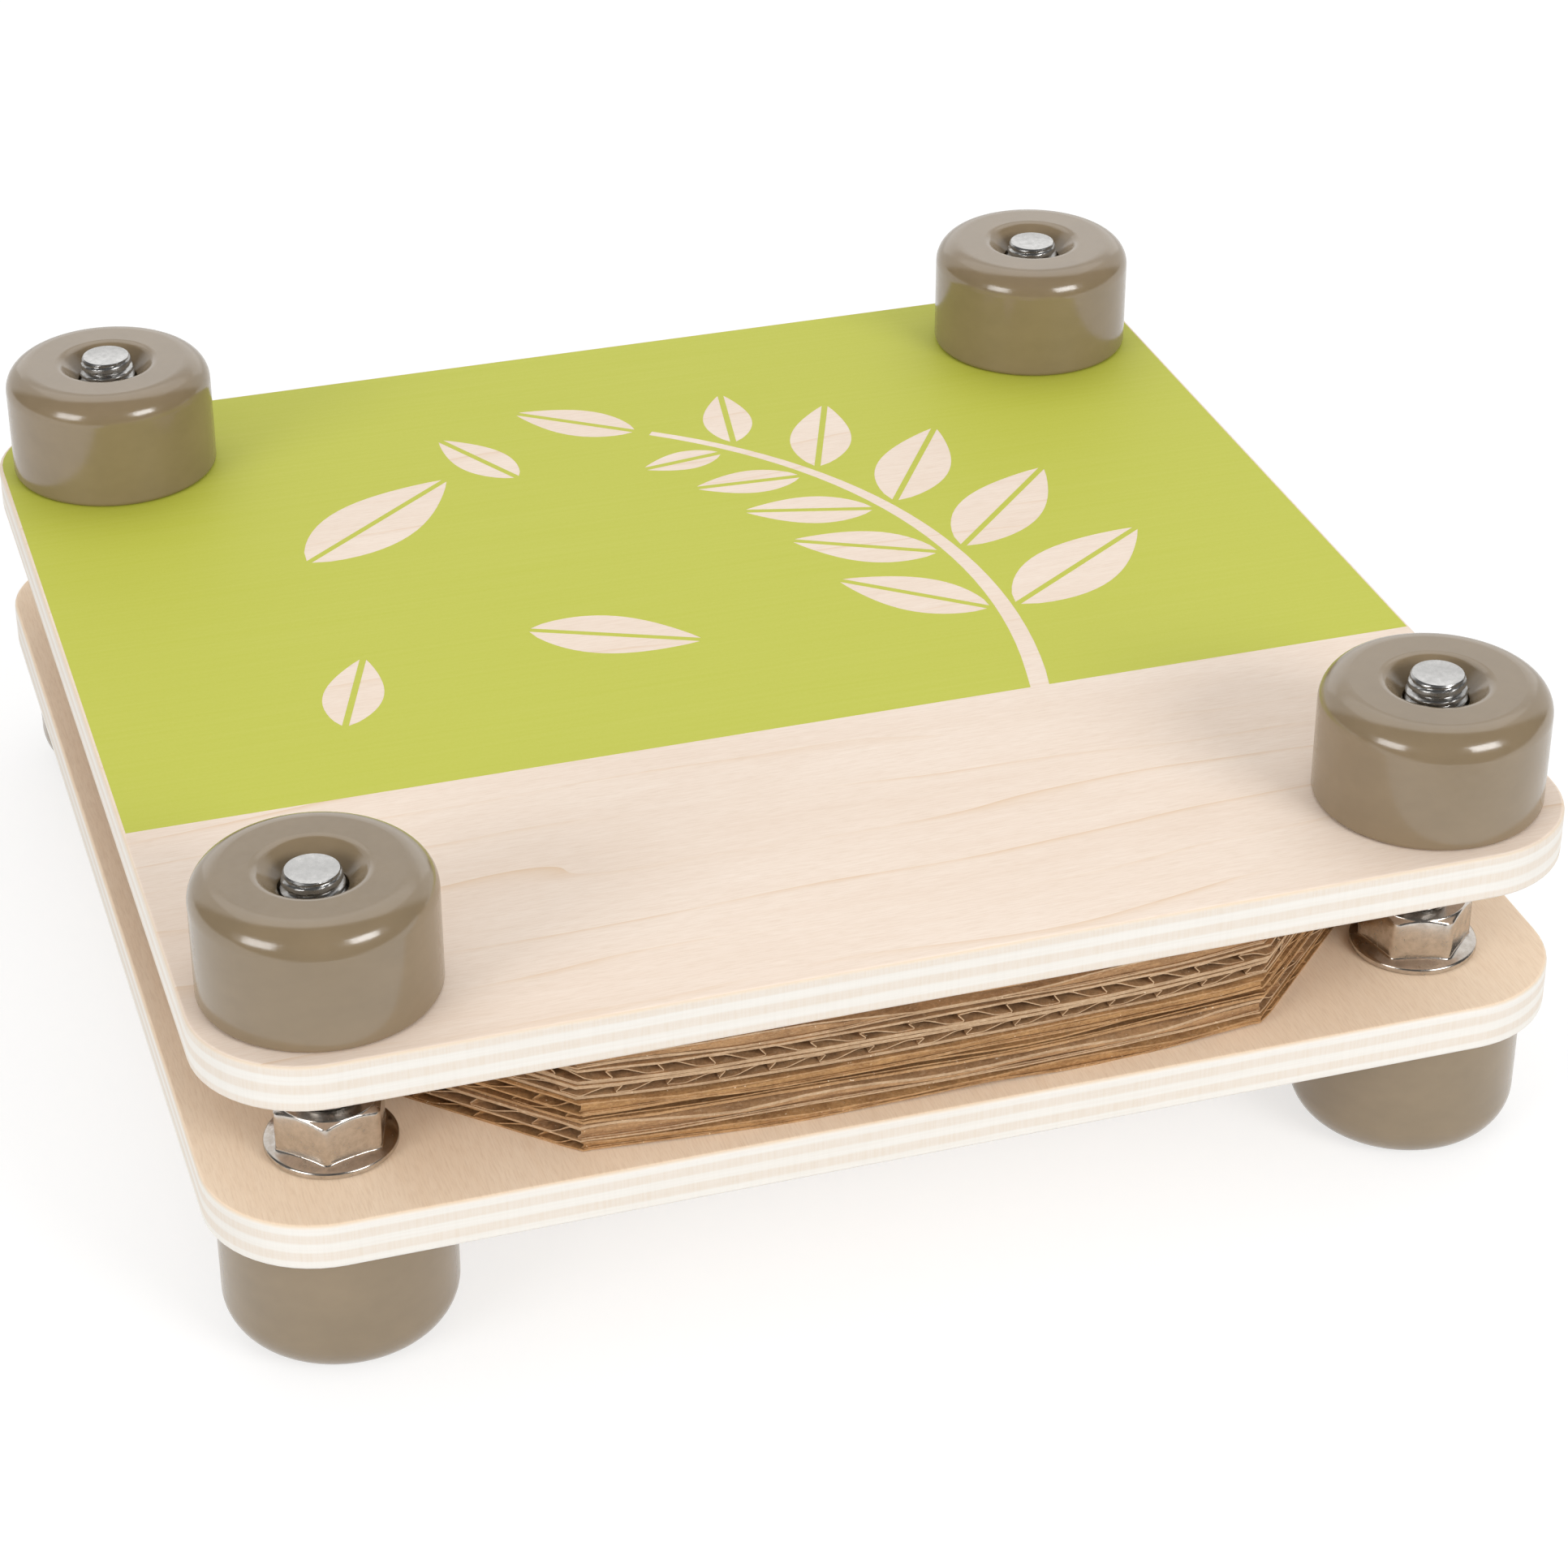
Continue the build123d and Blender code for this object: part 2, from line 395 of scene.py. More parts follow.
grey_edge = kraft(
    "grey_kraft_edge",
    light=srgb(200, 170, 136),
    dark=srgb(170, 139, 107),
    fibre=srgb(222, 200, 171),
    shade=srgb(150, 119, 88),
)


def dress(node_name, material):
    """Gives a solid's own mesh its material."""
    slots = nodes[node_name].data.materials
    slots.clear()
    slots.append(material)


dress("top_board", top_plywood)
dress("bottom_board", bottom_plywood)
for corner in CORNERS:
    dress("knob_" + corner, paint)
    dress("foot_" + corner, paint)
    dress("knob_insert_" + corner, insert_metal)


# Mesh helpers
SHARP_ANGLE = math.radians(38)
HEX_SIDES = 6
HEX_SHARPNESS = 60.0


def new_piece(name, points, faces, materials, face_slots=None):
    """A mesh object from points and faces, smooth but for its sharp edges."""
    mesh = bpy.data.meshes.new(name)
    mesh.from_pydata([tuple(point) for point in points], [], [tuple(face) for face in faces])
    for material in materials:
        mesh.materials.append(material)
    if face_slots is not None:
        mesh.polygons.foreach_set("material_index", face_slots)
    mesh.shade_smooth()
    mesh.set_sharp_from_angle(angle=SHARP_ANGLE)
    mesh.update()
    piece = bpy.data.objects.new(name, mesh)
    bpy.context.scene.collection.objects.link(piece)
    return piece


def lathe(name, rings, centre, material, ring_shaped):
    """A piece from rings round an upright axis, each a height and a radius for each angle.

    A ring-shaped piece joins its last ring to its first; any other is closed by flat ends.
    """
    heights = [height for height, _ in rings]
    radii = np.array([radius for _, radius in rings])
    ring_count, side_count = radii.shape
    angles = np.arange(side_count) * 2 * math.pi / side_count
    points = np.empty((ring_count, side_count, 3))
    points[..., 0] = centre[0] + radii * np.cos(angles)
    points[..., 1] = centre[1] + radii * np.sin(angles)
    points[..., 2] = np.asarray(heights)[:, None]
    index = np.arange(ring_count * side_count).reshape(ring_count, side_count)
    lower, upper = (index, np.roll(index, -1, axis=0)) if ring_shaped else (index[:-1], index[1:])
    lower_next, upper_next = np.roll(lower, -1, axis=1), np.roll(upper, -1, axis=1)
    faces = np.stack([lower, lower_next, upper_next, upper], -1).reshape(-1, 4).tolist()
    if not ring_shaped:
        faces.append(index[0][::-1].tolist())
        faces.append(index[-1].tolist())
    return new_piece(name, points.reshape(-1, 3), faces, [material])


def hexagon_radius(angles, across_flats, turn):
    """The radius at each angle of a hexagon with just eased corners, one of them at the turn."""
    total = np.zeros_like(angles)
    for side in range(HEX_SIDES):
        facing = np.cos(angles - turn - (side + 0.5) * 2 * math.pi / HEX_SIDES)
        total += np.maximum(facing, 0) ** HEX_SHARPNESS
    return across_flats / 2 / total ** (1 / HEX_SHARPNESS)


def axis_of(node_name):
    """The middle of a node's box, seen from above."""
    low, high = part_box(node_name)
    return ((low.x + high.x) / 2, (low.y + high.y) / 2)


# Bolts
BOLT_SIDES = 48
THREAD_PITCH = 1.25 * MM
THREAD_DEPTH = 0.62 * MM
THREAD_STEPS = 10
THREAD_START = 24.0 * MM
CREST_GAIN = 1.25
ROOT_FLAT = 0.1
BOLT_RADIUS = 4.0 * MM
BOLT_END_RADIUS = 3.32 * MM
BOLT_END_EASE = 0.3 * MM
BOLT_END_SLOPE = 0.8
BOLT_LEAD_IN_SLOPE = 0.2
# The shallow dish in a bolt's end: depths, and shares of the end's radius
BOLT_DISH = ((0.04 * MM, 0.86), (0.12 * MM, 0.7))
HEX_FLATS = 13.0 * MM
HEAD_HEIGHT = 5.3 * MM
HEAD_CORNER_DROP = 0.6 * MM


def thread_radius(angles, height):
    """The thread's radius at a height: a rounded V that climbs one pitch a turn."""
    turn = height / THREAD_PITCH - angles / (2 * math.pi)
    wave = 0.5 + 0.5 * np.cos(2 * math.pi * turn)
    crest_share = np.clip(wave * CREST_GAIN - ROOT_FLAT, 0, 1)
    return BOLT_RADIUS - THREAD_DEPTH * (1 - crest_share)


def make_bolt(corner):
    """A hexagon bolt with a real thread, a chamfered end and its head in the foot."""
    node_name = "bolt_" + corner
    low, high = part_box(node_name)
    angles = np.arange(BOLT_SIDES) * 2 * math.pi / BOLT_SIDES
    around = np.ones(BOLT_SIDES)
    hexagon = hexagon_radius(angles, HEX_FLATS, 0.0)
    head_top = low.z + HEAD_HEIGHT
    drop_radius = HEX_FLATS / 2 - HEAD_CORNER_DROP / 2
    rings = [
        (low.z, np.minimum(hexagon, drop_radius)),
        (low.z + HEAD_CORNER_DROP / 2, np.minimum(hexagon, (drop_radius + hexagon.max()) / 2)),
        (low.z + HEAD_CORNER_DROP, hexagon),
        (head_top, hexagon),
        (head_top, BOLT_RADIUS * around),
        (THREAD_START - THREAD_PITCH, BOLT_RADIUS * around),
    ]
    steps = int((high.z - THREAD_START) / (THREAD_PITCH / THREAD_STEPS))
    for height in np.linspace(THREAD_START, high.z, steps):
        below_end = high.z - height
        lead_in = BOLT_END_RADIUS + BOLT_END_SLOPE * min(below_end, BOLT_END_EASE)
        lead_in += BOLT_LEAD_IN_SLOPE * max(below_end - BOLT_END_EASE, 0)
        rings.append((height, np.minimum(thread_radius(angles, height), lead_in)))
    for depth, share in BOLT_DISH:
        rings.append((high.z - depth, share * BOLT_END_RADIUS * around))
    piece = lathe("threaded_" + node_name, rings, axis_of(node_name), steel, ring_shaped=False)
    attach(piece, "base")
    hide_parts(node_name)


# Flange nuts
NUT_SIDES = 96
NUT_TURNS = {"front_left": 14.0, "front_right": 43.0, "back_left": 27.0, "back_right": 5.0}
NUT_BORE = 4.05 * MM
NUT_MOUTH = 4.6 * MM
NUT_MOUTH_DEPTH = 0.5 * MM
NUT_TOP_RADIUS = 6.1 * MM
NUT_TOP_SLOPE = 1.7
NUT_TOP_BLEND = 0.12 * MM
NUT_FLANGE_BLEND = 0.3 * MM
# Heights and radii of the flange
FLANGE_PROFILE_MM = (
    (0.0, 7.9),
    (0.1, 8.2),
    (0.3, 8.38),
    (0.8, 8.4),
    (1.0, 8.3),
    (1.1, 8.1),
    (1.43, 7.3),
    (1.8, 6.4),
)
FLANGE_TOP = 1.1
NUT_FLANGE_LEVELS = (0.0, 0.1, 0.3, 0.8, 1.0, 1.1)
NUT_SLOPE_LEVELS = np.linspace(1.18, 2.3, 15)
NUT_SIDE_LEVELS = (3.0, 4.5, 5.6, 6.2, 6.6, 6.85, 7.05, 7.2, 7.32, 7.42, 7.5, 7.56, 7.6)
NUT_LEVELS_MM = (*NUT_FLANGE_LEVELS, *NUT_SLOPE_LEVELS, *NUT_SIDE_LEVELS)


def soft_maximum(first, second, blend):
    """The greater of two values, with a round where they cross."""
    return 0.5 * (first + second + np.sqrt((first - second) ** 2 + blend ** 2))


def make_nut(corner):
    """A flange nut: a hexagon with turned-off corners, and a round between it and its sloping flange."""
    node_name = "flange_nut_" + corner
    low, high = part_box(node_name)
    angles = np.arange(NUT_SIDES) * 2 * math.pi / NUT_SIDES
    around = np.ones(NUT_SIDES)
    hexagon = hexagon_radius(angles, HEX_FLATS, math.radians(NUT_TURNS[corner]))
    flange_heights, flange_radii = np.array(FLANGE_PROFILE_MM).T
    rings = []
    for level in NUT_LEVELS_MM:
        flange = np.interp(level, flange_heights, flange_radii) * MM
        top_cone = NUT_TOP_RADIUS + (high.z - low.z - level * MM) * NUT_TOP_SLOPE
        shape = -soft_maximum(-hexagon, -top_cone * around, NUT_TOP_BLEND)
        if level > FLANGE_TOP:
            shape = soft_maximum(shape, flange, NUT_FLANGE_BLEND)
        else:
            shape = flange * around
        rings.append((low.z + level * MM, shape))
    rings.append((high.z, NUT_MOUTH * around))
    rings.append((high.z - NUT_MOUTH_DEPTH, NUT_BORE * around))
    rings.append((low.z, NUT_BORE * around))
    piece = lathe("plated_" + node_name, rings, axis_of(node_name), nickel, ring_shaped=True)
    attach(piece, "base")
    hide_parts(node_name)


for corner in CORNERS:
    make_bolt(corner)
    make_nut(corner)


# Printed field on the top board, in millimetres
FIELD_FRONT = -32.0
FIELD_EDGE = 89.5
FIELD_CORNER_RADIUS = 14.5
FIELD_CORNER_POINTS = 12
FIELD_HOLE_RADIUS = 4.5
FIELD_HOLE_POINTS = 24
INK_ABOVE = 0.02
INK_THICKNESS = 0.04
VEIN_WIDTH = 0.9
VEIN_END = 0.03
LEAF_POINTS = 18
LEAF_WIDTH_SHARE = 0.41
LEAF_TAPER = 0.85
LEAF_FULLNESS = 0.9
STEM_CONTROLS = ((35.0, -32.0), (44.0, 4.0), (34.0, 38.0), (6.0, 58.0))
STEM_WIDTHS = (2.8, 1.3)
STEM_POINTS = 28
# For each pair of leaves on the stem: its share of the way up, and the outer leaf's length
LEAF_PAIRS = ((0.2, 29.0), (0.38, 27.5), (0.55, 24.5), (0.71, 20.5), (0.86, 16.0))
INNER_LEAF_SHARE = 0.76
LEAF_SPREAD = 54.0
LEAF_STEM_GAP = 2.7
LAST_LEAF_LENGTH = 19.0
# For each loose leaf: the place of its base, its turn in degrees and its length
LOOSE_LEAVES = (
    (-52.0, 33.0, 38.0, 31.0),
    (-27.0, 4.0, -24.0, 24.0),
    (-57.0, -14.0, 70.0, 18.0),
    (-17.0, 50.0, 118.0, 17.0),
)


def arc(centre, radius, start, end, count):
    """Points along an arc, in degrees."""
    angles = np.radians(np.linspace(start, end, count))
    return [(centre[0] + radius * math.cos(a), centre[1] + radius * math.sin(a)) for a in angles]


def heading(direction):
    """One step in a direction."""
    return Vector((math.cos(direction), math.sin(direction)))


def half_leaf(base, direction, length, side):
    """One half of a leaf: straight along the vein and bowed outside."""
    along = heading(direction)
    across = Vector((-along.y, along.x)) * side
    width = length * LEAF_WIDTH_SHARE / 2
    outline = []
    for share in np.linspace(0, 1, LEAF_POINTS):
        bow = VEIN_WIDTH / 2 + width * math.sin(math.pi * share ** LEAF_TAPER) ** LEAF_FULLNESS
        outline.append(Vector(base) + along * length * share + across * bow)
    for share in np.linspace(1 - VEIN_END, VEIN_END, LEAF_POINTS // 2):
        outline.append(Vector(base) + along * length * share + across * VEIN_WIDTH / 2)
    return outline


def leaf(base, direction, length):
    """Both halves of a leaf."""
    return [half_leaf(base, direction, length, side) for side in (-1, 1)]


def stem_at(share):
    """The stem's place and direction at a share of its length."""
    p0, p1, p2, p3 = (Vector(point) for point in STEM_CONTROLS)
    rest = 1 - share
    place = p0 * rest ** 3 + p1 * 3 * rest ** 2 * share + p2 * 3 * rest * share ** 2 + p3 * share ** 3
    slope = (p1 - p0) * rest ** 2 + (p2 - p1) * 2 * rest * share + (p3 - p2) * share ** 2
    return place, math.atan2(slope.y, slope.x)


def stem_outline():
    """The stem as one tapering strip that starts on the field's front edge."""
    left, right = [], []
    for share in np.linspace(0, 1, STEM_POINTS):
        place, direction = stem_at(share)
        width = STEM_WIDTHS[0] + (STEM_WIDTHS[1] - STEM_WIDTHS[0]) * share
        across = Vector((-math.sin(direction), math.cos(direction))) * width / 2
        left.append(place + across)
        right.append(place - across)
    left[0].y = right[0].y = FIELD_FRONT
    return left, right


def field_outlines():
    """The field's outline, its bolt holes and the leaves that are left bare."""
    middle = FIELD_EDGE - FIELD_CORNER_RADIUS
    stem_left, stem_right = stem_outline()
    front = [(-FIELD_EDGE, FIELD_FRONT), *stem_left, *reversed(stem_right), (FIELD_EDGE, FIELD_FRONT)]
    back_right = arc((middle, middle), FIELD_CORNER_RADIUS, 0, 90, FIELD_CORNER_POINTS)
    back_left = arc((-middle, middle), FIELD_CORNER_RADIUS, 90, 180, FIELD_CORNER_POINTS)
    outlines = [front + back_right + back_left]
    last_turn = 360 - 360 / FIELD_HOLE_POINTS
    for corner in ("back_left", "back_right"):
        x, y = axis_of("bolt_" + corner)
        outlines.append(arc((x / MM, y / MM), FIELD_HOLE_RADIUS, 0, last_turn, FIELD_HOLE_POINTS))
    for share, length in LEAF_PAIRS:
        place, direction = stem_at(share)
        for side, side_length in ((-1, length), (1, INNER_LEAF_SHARE * length)):
            turn = direction + side * math.radians(LEAF_SPREAD)
            outlines += leaf(place + heading(turn) * LEAF_STEM_GAP, turn, side_length)
    tip, direction = stem_at(1.0)
    outlines += leaf(tip + heading(direction) * LEAF_STEM_GAP, direction, LAST_LEAF_LENGTH)
    for x, y, turn, length in LOOSE_LEAVES:
        outlines += leaf((x, y), math.radians(turn), length)
    return outlines


def make_printed_field():
    """The print as one thin layer, filled between its outlines."""
    curve = bpy.data.curves.new("field_outline", "CURVE")
    curve.dimensions = "2D"
    curve.fill_mode = "BOTH"
    curve.extrude = INK_THICKNESS * MM / 2
    for outline in field_outlines():
        spline = curve.splines.new("POLY")
        spline.points.add(len(outline) - 1)
        spline.use_cyclic_u = True
        for point, place in zip(spline.points, outline):
            point.co = (place[0] * MM, place[1] * MM, 0, 1)
    outline_object = bpy.data.objects.new("field_outline", curve)
    mesh = bpy.data.meshes.new_from_object(outline_object)
    bpy.data.objects.remove(outline_object)
    bpy.data.curves.remove(curve)
    mesh.name = "printed_field"
    mesh.materials.clear()
    mesh.materials.append(sheened_ink)
    piece = bpy.data.objects.new("printed_field", mesh)
    board_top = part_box("top_board")[1].z
    piece.location.z = board_top + (INK_ABOVE - INK_THICKNESS / 2) * MM
    bpy.context.scene.collection.objects.link(piece)
    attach(piece, "top_board")


make_printed_field()


# Cardboard sheets, in millimetres
SHEET_COUNT = 8
SHEET_HALF = 87.3
SHEET_CORNER_LINE = 130.6
SHEET_OFFSET = 0.8
SHEET_GAP = 0.02
SHEET_SHIFT = 0.4
CROSS_SHEETS = (5, 6)
GREY_SHEETS = (2, 5, 6, 7)
# For each sheet: its height, its lower and upper liner, the lean of its flutes
# and how far through a flute its front or left edge cuts
SHEET_FORMS = (
    (1.90, 0.25, 0.25, -1.9, 0.12),
    (2.30, 0.25, 0.40, -1.9, 0.09),
    (2.00, 0.40, 0.25, -1.9, 0.78),
    (1.90, 0.25, 0.25, -1.9, 0.12),
    (2.00, 0.40, 0.45, 1.9, 0.30),
    (2.45, 0.45, 0.35, -1.9, 0.98),
    (2.10, 0.25, 0.25, -1.9, 0.12),
    (2.15, 0.25, 0.25, -1.9, 0.14),
)
MEDIUM = 0.15
FLUTE_PITCH = 6.4
FLUTE_FLAT = 0.15
FLUTE_STEPS = 18
SMALLEST_STEP = 0.001
LENGTH_STEPS = 30
LINER_INNER_HALF = 81.0
LINER_INNER_ROWS = 33
LINER_EDGE_STEPS = (0, 0.4, 1.0, 1.8, 2.8, 3.8)

# Wear and waviness of the sheets
SHEET_SEED = 41
WAVE_COUNT = 5
WAVE_SPREAD = (0.7, 1.7)
WAVE_EVENING = 3.2
LEVEL_WAVE_LENGTH = 75.0
LEVEL_WAVE_HEIGHT = 0.17
ROOF_CRUSH_LENGTH = 27
FLOOR_CRUSH_LENGTH = 33
TRIM_WAVE_LENGTH = 13
CORE_GAP_LENGTH = 34
CORE_GAP = 0.35
EDGE_REACH = 2.6
LONG_EDGE_CRUSH = 0.8
OPEN_EDGE_CRUSH = 0.1
LOWER_CRUSH_SHARE = 0.6
CRUSH_MEAN = 0.4
CRUSH_SWING = 0.7
LINER_TRIM = 0.3
CORE_TRIM = 0.5
TRIM_MEAN = 0.5
TRIM_SWING = 0.4
END_TRIM_SLANT = 0.7
SIDE_TRIM_SLANT = 0.3
EDGE_BOW = 1.9
EDGE_BOW_POWER = 3
EDGE_BOW_REACH = 44.0
EDGE_BOW_FADE = 3.0


def soft_waves(random, wave_length):
    """A smooth random height from about -1 to 1 over x and y."""
    waves = []
    for _ in range(WAVE_COUNT):
        direction = random.uniform(0, 2 * math.pi)
        length = wave_length * random.uniform(*WAVE_SPREAD)
        phase = random.uniform(0, 2 * math.pi)
        waves.append((direction, length, phase))

    def height(x, y):
        total = 0.0
        for direction, length, phase in waves:
            along = x * math.cos(direction) + y * math.sin(direction)
            total = total + np.sin(2 * math.pi * along / length + phase)
        return total / WAVE_EVENING

    return height


def flat_level(x, y):
    """The flat boards below and above the stack."""
    return 0.0 * x


def edge_share(distance, reach):
    """One at an edge, falling to nought a few millimetres inside it."""
    return np.exp(-((distance / reach) ** 2))


def edge_bow(along):
    """How much the worn ends of a side fall back behind its middle."""
    return EDGE_BOW * np.minimum(np.abs(along) / EDGE_BOW_REACH, 1) ** EDGE_BOW_POWER


def sheet_reach(across):
    """How far a sheet runs along its flutes, each way, at a place across them."""
    bow_share = edge_share(SHEET_HALF - np.abs(across), EDGE_BOW_FADE)
    to_corner = SHEET_CORNER_LINE - np.abs(across) + EDGE_BOW * bow_share
    return np.minimum(SHEET_HALF - edge_bow(across), to_corner)


class Sheet:
    """The surfaces of one sheet; u runs across its flutes and v along them, in millimetres."""

    def __init__(self, number, floor_waves, roof_waves, random):
        self.number = number
        self.height, self.lower_liner, self.upper_liner, self.lean, self.cut = SHEET_FORMS[number - 1]
        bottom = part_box("cardboard_sheet_1")[0].z / MM
        self.low_level = bottom + sum(form[0] for form in SHEET_FORMS[: number - 1])
        self.floor_waves = floor_waves
        self.roof_waves = roof_waves
        self.roof_crush = soft_waves(random, ROOF_CRUSH_LENGTH)
        self.floor_crush = soft_waves(random, FLOOR_CRUSH_LENGTH)
        self.trims = [soft_waves(random, TRIM_WAVE_LENGTH) for _ in range(3)]
        self.core_gaps = soft_waves(random, CORE_GAP_LENGTH)
        self.shift = random.uniform(-SHEET_SHIFT, SHEET_SHIFT, 2)

    def to_part(self, u, v):
        """From across and along the flutes to the part's x and y."""
        x, y = (u, v) if self.number in CROSS_SHEETS else (-v, u)
        return x + SHEET_OFFSET + self.shift[0], y + self.shift[1]

    def crush_share(self, u, v, waves):
        """How much an edge is pressed in: most along the flutes, less across their ends."""
        long_edge = LONG_EDGE_CRUSH * edge_share(SHEET_HALF - np.abs(u), EDGE_REACH)
        open_edge = OPEN_EDGE_CRUSH * edge_share(sheet_reach(u) - np.abs(v), EDGE_REACH)
        share = np.clip(CRUSH_MEAN + CRUSH_SWING * waves(u, v), 0, 1)
        return share * np.maximum(long_edge, open_edge)

    def sides(self, u, v):
        """Heights of the underside and the upper side."""
        x, y = self.to_part(u, v)
        floor = self.low_level + SHEET_GAP / 2 + LEVEL_WAVE_HEIGHT * self.floor_waves(x, y)
        roof = self.low_level + self.height - SHEET_GAP / 2 + LEVEL_WAVE_HEIGHT * self.roof_waves(x, y)
        room = roof - floor - self.lower_liner - self.upper_liner - MEDIUM
        lift = LOWER_CRUSH_SHARE * room * self.crush_share(u, v, self.floor_crush)
        drop = room * self.crush_share(u, v, self.roof_crush)
        return floor + lift, roof - drop

    def grid(self, across, trim_depth, trim):
        """u and v on a grid, with all edges trimmed a little unevenly."""
        share = np.sin(np.linspace(-1, 1, LENGTH_STEPS) * math.pi / 2)
        u = np.repeat(np.asarray(across)[:, None], LENGTH_STEPS, axis=1)
        end_trim = trim_depth * (TRIM_MEAN + TRIM_SWING * trim(u, END_TRIM_SLANT * u))
        v = share[None, :] * (sheet_reach(u) - end_trim)
        side_trim = trim_depth * (TRIM_MEAN + TRIM_SWING * trim(SIDE_TRIM_SLANT * v, v))
        pulled_in = edge_share(SHEET_HALF - np.abs(u), EDGE_BOW_FADE) * (side_trim + edge_bow(v))
        return u - np.sign(u) * pulled_in, v

    def points(self, u, v, height):
        """Places in the part, in metres."""
        x, y = self.to_part(u, v)
        return np.stack([x, y, height], -1) * MM


def plate_parts(upper, lower):
    """Points, faces and face slots of a thin plate between two grids; its rim has slot 1."""
    rows, columns = upper.shape[:2]
    count = rows * columns
    index = np.arange(count).reshape(rows, columns)
    a, b, c, d = index[:-1, :-1], index[1:, :-1], index[1:, 1:], index[:-1, 1:]
    top = np.stack([a, b, c, d], -1).reshape(-1, 4)
    bottom = np.stack([a, d, c, b], -1).reshape(-1, 4) + count
    rim = np.concatenate([index[:, 0], index[-1, 1:], index[-2::-1, -1], index[0, -2:0:-1]])
    following = np.roll(rim, -1)
    sides = np.stack([rim + count, following + count, following, rim], -1)
    points = np.concatenate([upper.reshape(-1, 3), lower.reshape(-1, 3)])
    faces = np.concatenate([top, bottom, sides])
    slots = np.concatenate([np.zeros(len(top) + len(bottom), int), np.ones(len(sides), int)])
    return points, faces, slots


def liner_rows():
    """Places across the flutes for a liner, closer near its long edges."""
    inner = np.linspace(-LINER_INNER_HALF, LINER_INNER_HALF, LINER_INNER_ROWS)
    edge = SHEET_HALF - np.array(LINER_EDGE_STEPS)
    return np.concatenate([-edge, inner, edge[::-1]])


def liner_plates(sheet):
    """The lower and the upper liner of a sheet."""
    u, v = sheet.grid(liner_rows(), LINER_TRIM, sheet.trims[0])
    floor, _ = sheet.sides(u, v)
    yield plate_parts(sheet.points(u, v, floor + sheet.lower_liner), sheet.points(u, v, floor))
    u, v = sheet.grid(liner_rows(), LINER_TRIM, sheet.trims[1])
    _, roof = sheet.sides(u, v)
    yield plate_parts(sheet.points(u, v, roof), sheet.points(u, v, roof - sheet.upper_liner))


def flute_rows(sheet):
    """Places across and shares of height along the folded core: flat on each liner, with leaning walls.

    Rows that don't move on from the one before are dropped.
    """
    flutes = math.ceil(2 * SHEET_HALF / FLUTE_PITCH) + 1
    turns = np.arange(flutes * FLUTE_STEPS) / FLUTE_STEPS + sheet.cut
    steepness = 1 / math.cos(2 * math.pi * FLUTE_FLAT)
    ramped = np.clip(0.5 - 0.5 * steepness * np.cos(2 * math.pi * turns), 0, 1)
    rise = ramped * ramped * (3 - 2 * ramped)
    across = FLUTE_PITCH * (turns - sheet.cut) + sheet.lean * (rise - rise[0]) - SHEET_HALF
    end = np.nonzero(across > SHEET_HALF)[0].min()
    across, rise = across[:end], rise[:end]
    across[-1] = SHEET_HALF
    across = np.maximum(across, -SHEET_HALF)
    moved = np.hypot(np.diff(across), np.diff(rise)) > SMALLEST_STEP
    kept = np.concatenate([[True], moved])
    return across[kept], rise[kept]


def core_plate(sheet):
    """The folded core of a sheet, between its liners."""
    across, rise = flute_rows(sheet)
    u, v = sheet.grid(across, CORE_TRIM, sheet.trims[2])
    floor, roof = sheet.sides(u, v)
    lowest = floor + sheet.lower_liner + MEDIUM / 2
    highest = roof - sheet.upper_liner - MEDIUM / 2
    loose = CORE_GAP * np.clip(sheet.core_gaps(u, v), 0, 1)
    height = lowest + (highest - lowest) * rise[:, None] * (1 - loose)
    slope_u = np.gradient(u, axis=0)
    slope_z = np.gradient(height, axis=0)
    length = np.hypot(slope_u, slope_z)
    shift_u = -slope_z / length * MEDIUM / 2
    shift_z = slope_u / length * MEDIUM / 2
    upper = sheet.points(u + shift_u, v, height + shift_z)
    lower = sheet.points(u - shift_u, v, height - shift_z)
    return plate_parts(upper, lower)


def make_sheets():
    """The whole stack; neighbours share the wavy level between them."""
    random = np.random.default_rng(SHEET_SEED)
    levels = [soft_waves(random, LEVEL_WAVE_LENGTH) for _ in range(SHEET_COUNT + 1)]
    levels[0] = levels[-1] = flat_level
    for number in range(1, SHEET_COUNT + 1):
        sheet = Sheet(number, levels[number - 1], levels[number], random)
        points, faces, slots = [], [], []
        start = 0
        for plate_points, plate_faces, plate_slots in (*liner_plates(sheet), core_plate(sheet)):
            points.append(plate_points)
            faces.append(plate_faces + start)
            slots.append(plate_slots)
            start += len(plate_points)
        node_name = f"cardboard_sheet_{number}"
        piece = new_piece(
            "fluted_" + node_name,
            np.concatenate(points),
            np.concatenate(faces).tolist(),
            [grey_face, grey_edge] if number in GREY_SHEETS else [brown_face, brown_edge],
            np.concatenate(slots).tolist(),
        )
        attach(piece, node_name)
        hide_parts(node_name)


make_sheets()


# Floor and light
FLOOR_HALF_WIDTH = 3.0
FLOOR_FRONT = -0.2
FLOOR_BACK = 1.6
FLOOR_DIFFUSE = (0.42, 0.42, 0.42, 1)
FLOOR_GLOW = 0.66
FLOOR_BOUNCE = (0.85, 0.85, 0.85, 1)
WHITE = (1, 1, 1, 1)
WORLD_LIGHT = 0.585
BRIGHT_SIDE = Vector((0.264, 0.880, 0.395))
BRIGHT_SIDE_EDGE = (0.44, 0.59)
DARK_SIDE_LIGHT = 0.08
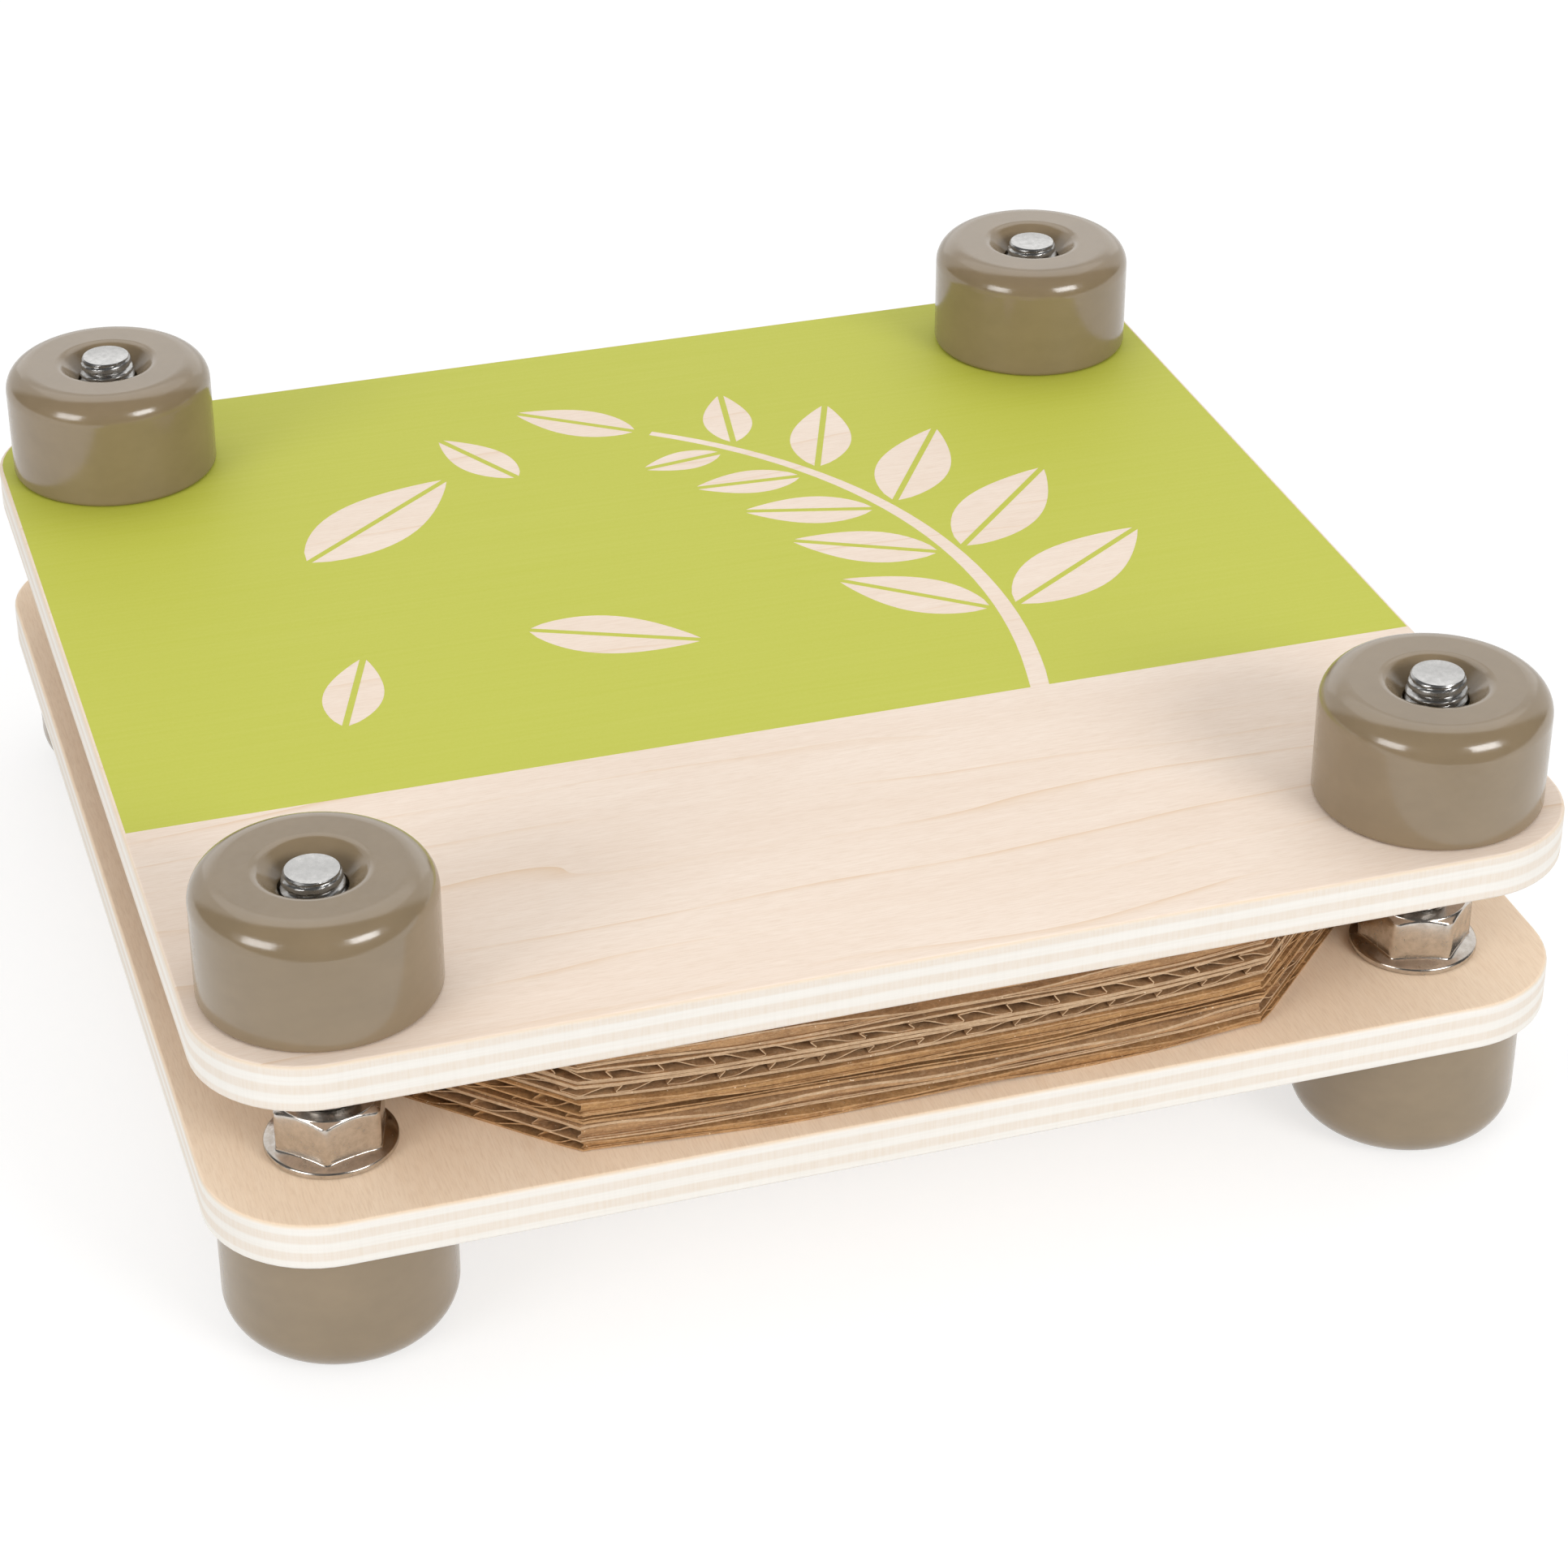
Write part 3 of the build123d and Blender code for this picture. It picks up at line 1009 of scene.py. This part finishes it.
# For each softbox: its bearing from the front, to the right, and its height, both in degrees,
# its width and depth in metres, its radiance and its distance in metres
SOFTBOXES = {
    "left_softbox": (-61, 20, 0.5, 0.4, 6.5, 1.1),
    "right_softbox": (27.5, 26, 0.46, 0.36, 9.5, 1.1),
    "back_softbox": (163, 20.5, 2.4, 0.8, 0.55, 1.9),
    "overhead_softbox": (163, 64, 2.0, 1.05, 0.66, 1.5),
}


def seen_directly(tree):
    """One for rays from the camera, or by way of gloss or glass; nought for light that falls on things."""
    path = add_node(tree, "LightPath", {})
    seen = math_node(tree, "MAXIMUM", path.outputs["Is Camera Ray"], path.outputs["Is Glossy Ray"])
    return math_node(tree, "MAXIMUM", seen, path.outputs["Is Transmission Ray"])


def make_floor():
    """A plain white floor that keeps a soft shadow."""
    material = bpy.data.materials.new("studio_floor")
    material.use_nodes = True
    tree = material.node_tree
    tree.nodes.clear()
    soft = add_node(tree, "BsdfDiffuse", {"Color": FLOOR_DIFFUSE}).outputs[0]
    glow = add_node(tree, "Emission", {"Color": WHITE, "Strength": FLOOR_GLOW}).outputs[0]
    bright = add_node(tree, "AddShader", {0: soft, 1: glow}).outputs[0]
    plain = add_node(tree, "BsdfDiffuse", {"Color": FLOOR_BOUNCE}).outputs[0]
    shown = add_node(tree, "MixShader", {0: seen_directly(tree), 1: plain, 2: bright}).outputs[0]
    output = add_node(tree, "OutputMaterial", {"Surface": shown})
    output.is_active_output = True
    points = [
        (-FLOOR_HALF_WIDTH, FLOOR_FRONT, 0),
        (FLOOR_HALF_WIDTH, FLOOR_FRONT, 0),
        (FLOOR_HALF_WIDTH, FLOOR_BACK, 0),
        (-FLOOR_HALF_WIDTH, FLOOR_BACK, 0),
    ]
    new_piece("studio_floor", points, [(0, 1, 2, 3)], [material])


def make_world():
    """Even white light; gloss finds a white screen behind the press and a dark studio in front of it."""
    world = bpy.data.worlds.new("studio")
    bpy.context.scene.world = world
    world.use_nodes = True
    tree = world.node_tree
    path = add_node(tree, "LightPath", {})
    direction = add_node(tree, "TexCoord", {}).outputs["Generated"]
    facing = add_node(tree, "VectorMath", {0: direction, 1: BRIGHT_SIDE}, operation="DOT_PRODUCT")
    in_gloss = spread_value(tree, facing.outputs["Value"], *BRIGHT_SIDE_EDGE, to_low=DARK_SIDE_LIGHT)
    glossy = math_node(tree, "MAXIMUM", path.outputs["Is Glossy Ray"], path.outputs["Is Transmission Ray"])
    light = mix_values(tree, glossy, WORLD_LIGHT, in_gloss)
    strength = mix_values(tree, path.outputs["Is Camera Ray"], light, 1.0)
    background = tree.nodes["Background"]
    tree.links.new(strength, background.inputs["Strength"])
    background.inputs["Color"].default_value = WHITE


def make_softbox(name, turn, height, width, depth, radiance, distance):
    """A softbox that faces the press and doesn't show itself."""
    lamp = bpy.data.lights.new(name, "AREA")
    lamp.shape = "RECTANGLE"
    lamp.size = width
    lamp.size_y = depth
    lamp.energy = radiance * math.pi * width * depth
    piece = bpy.data.objects.new(name, lamp)
    turn, height = math.radians(turn), math.radians(height)
    direction = Vector(
        (math.sin(turn) * math.cos(height), -math.cos(turn) * math.cos(height), math.sin(height))
    )
    piece.location = direction * distance
    piece.rotation_euler = direction.to_track_quat("Z", "Y").to_euler()
    piece.visible_camera = False
    bpy.context.scene.collection.objects.link(piece)


make_floor()
make_world()
for name, values in SOFTBOXES.items():
    make_softbox(name, *values)

bpy.context.scene.view_settings.view_transform = "Standard"
